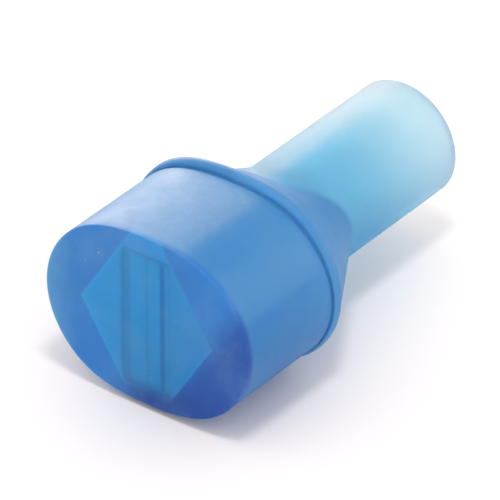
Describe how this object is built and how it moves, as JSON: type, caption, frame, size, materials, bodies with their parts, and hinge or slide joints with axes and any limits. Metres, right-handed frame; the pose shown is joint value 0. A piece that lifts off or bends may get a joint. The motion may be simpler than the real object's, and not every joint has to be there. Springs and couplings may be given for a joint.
{
  "type": "bite valve mouthpiece",
  "caption": "Soft translucent drinking-hose mouthpiece: an oval bite chamber with a slit face, an oval shoulder and a round sleeve that grips a hose.",
  "frame": {"origin": "centre of the hose bore at the sleeve's open end", "axes": "+Y along the bore out of the sleeve, away from the slit face; +X along the oval's long axis; +Z along its short axis, up"},
  "size_m": [0.0261, 0.0436, 0.021],
  "materials": {
    "blue_silicone": "satin"
  },
  "bodies": {
    "moulding": {"face_frame": "blue_silicone", "left_web": "blue_silicone", "right_web": "blue_silicone", "left_wall": "blue_silicone", "right_wall": "blue_silicone", "upper_flex_band": "blue_silicone", "lower_flex_band": "blue_silicone", "flange_ring": "blue_silicone", "oval_shoulder": "blue_silicone", "hose_stop": "blue_silicone", "hose_sleeve": "blue_silicone", "sleeve_rim": "blue_silicone"},
    "upper_pad": {"upper_bite_pad": "blue_silicone"},
    "lower_pad": {"lower_bite_pad": "blue_silicone"},
    "left_slit_lip": {"left_lip": "blue_silicone"},
    "right_slit_lip": {"right_lip": "blue_silicone"}
  },
  "joints": [
    {"name": "upper_bite", "type": "hinge", "parent": "moulding", "child": "upper_pad", "pos_m": [0, -0.03, 0.009], "axis": [1, 0, 0], "range_deg": [0, 9], "stiffness_Nm_per_rad": 0.3},
    {"name": "lower_bite", "type": "hinge", "parent": "moulding", "child": "lower_pad", "pos_m": [0, -0.03, -0.009], "axis": [-1, 0, 0], "range_deg": [0, 9], "stiffness_Nm_per_rad": 0.3},
    {"name": "left_lip_fold", "type": "hinge", "parent": "moulding", "child": "left_slit_lip", "pos_m": [-0.00285, -0.0434, 0], "axis": [0, 0, 1], "range_deg": [0, 35]},
    {"name": "right_lip_fold", "type": "hinge", "parent": "moulding", "child": "right_slit_lip", "pos_m": [0.00285, -0.0434, 0], "axis": [0, 0, -1], "range_deg": [0, 35]}
  ],
  "couplings": [
    {"joint": "lower_bite", "follows": "upper_bite", "ratio": 1},
    {"joint": "left_lip_fold", "follows": "upper_bite", "ratio": 3.88},
    {"joint": "right_lip_fold", "follows": "upper_bite", "ratio": 3.88}
  ]
}
